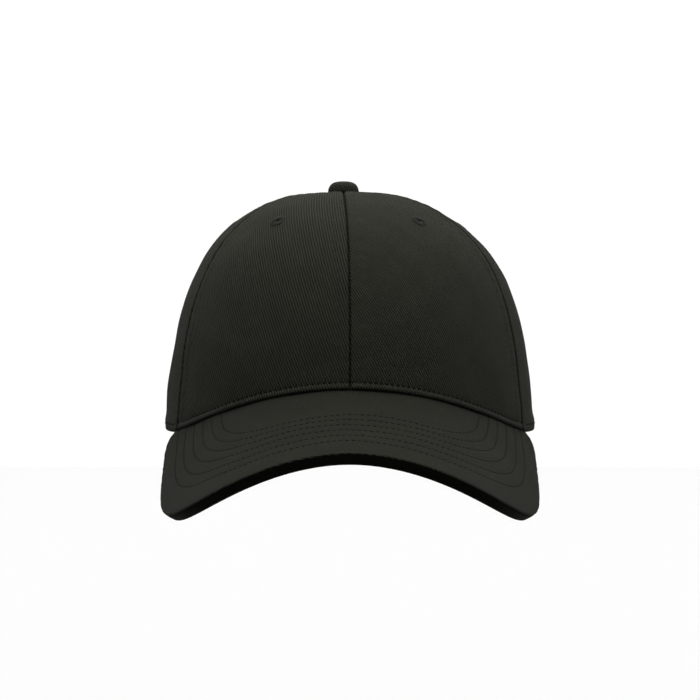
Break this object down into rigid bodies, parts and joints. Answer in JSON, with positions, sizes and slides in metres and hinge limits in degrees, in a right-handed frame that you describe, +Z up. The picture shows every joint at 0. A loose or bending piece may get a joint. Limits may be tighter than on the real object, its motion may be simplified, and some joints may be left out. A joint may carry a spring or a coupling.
{
  "type": "baseball cap",
  "caption": "Structured panelled baseball cap of dark twill with a curved stitched visor, covered top button, sewn eyelets and a buckled fabric strap at the back.",
  "frame": {"origin": "centre of the head opening, in the plane of the hem at the sides and the back", "axes": "+Z up to the top button, -Y to the front along the visor, +X to the wearer's left"},
  "size_m": [0.1794, 0.2692, 0.1581],
  "materials": {
    "crown_twill": "cotton twill, dark olive-charcoal, matt",
    "under_twill": "cotton twill, near black, matt",
    "eyelet_thread": "embroidered thread, satin",
    "buckram": "stiffened open weave, matt",
    "seam_tape": "woven tape, matt",
    "sweatband_padding": "felted padding, matt",
    "sweatband_facing": "cotton twill, matt",
    "visor_board": "moulded polyethylene board",
    "button_metal": "tinned steel",
    "buckle_metal": "antiqued brass, satin"
  },
  "bodies": {
    "crown": {"front_panel_left": "crown_twill", "front_panel_right": "crown_twill", "side_panel_left": "crown_twill", "side_panel_right": "crown_twill", "rear_panel_left": "crown_twill", "rear_panel_right": "crown_twill", "front_stiffener_left": "buckram", "front_stiffener_right": "buckram", "seam_tape_front": "seam_tape", "seam_tape_front_left": "seam_tape", "seam_tape_front_right": "seam_tape", "seam_tape_rear": "seam_tape", "seam_tape_rear_left": "seam_tape", "seam_tape_rear_right": "seam_tape", "sweatband_core": "sweatband_padding", "sweatband_facing": "sweatband_facing", "opening_binding": "crown_twill", "eyelet_front_left": "eyelet_thread", "eyelet_front_right": "eyelet_thread", "eyelet_side_left": "eyelet_thread", "eyelet_side_right": "eyelet_thread", "eyelet_rear_left": "eyelet_thread", "eyelet_rear_right": "eyelet_thread", "button_cover": "crown_twill", "button_shell": "button_metal", "button_rivet": "button_metal", "button_backing": "button_metal", "visor_board": "visor_board", "visor_cover_top": "crown_twill", "visor_cover_under": "under_twill", "buckle_tab": "crown_twill", "buckle_frame": "buckle_metal", "buckle_pin": "buckle_metal"},
    "strap": {"strap": "crown_twill"},
    "lever": {"buckle_lever": "buckle_metal"}
  },
  "joints": [
    {"name": "strap_adjust", "type": "hinge", "parent": "crown", "child": "strap", "pos_m": [0, 0.0153, 0.013], "axis": [0, 0, -1], "range_deg": [-12, 12]},
    {"name": "buckle_lever_hinge", "type": "hinge", "parent": "crown", "child": "lever", "pos_m": [0.01569, 0.09601, 0.01274], "axis": [-0.0363, -0.0999, 0.9943], "range_deg": [0, 110]}
  ]
}
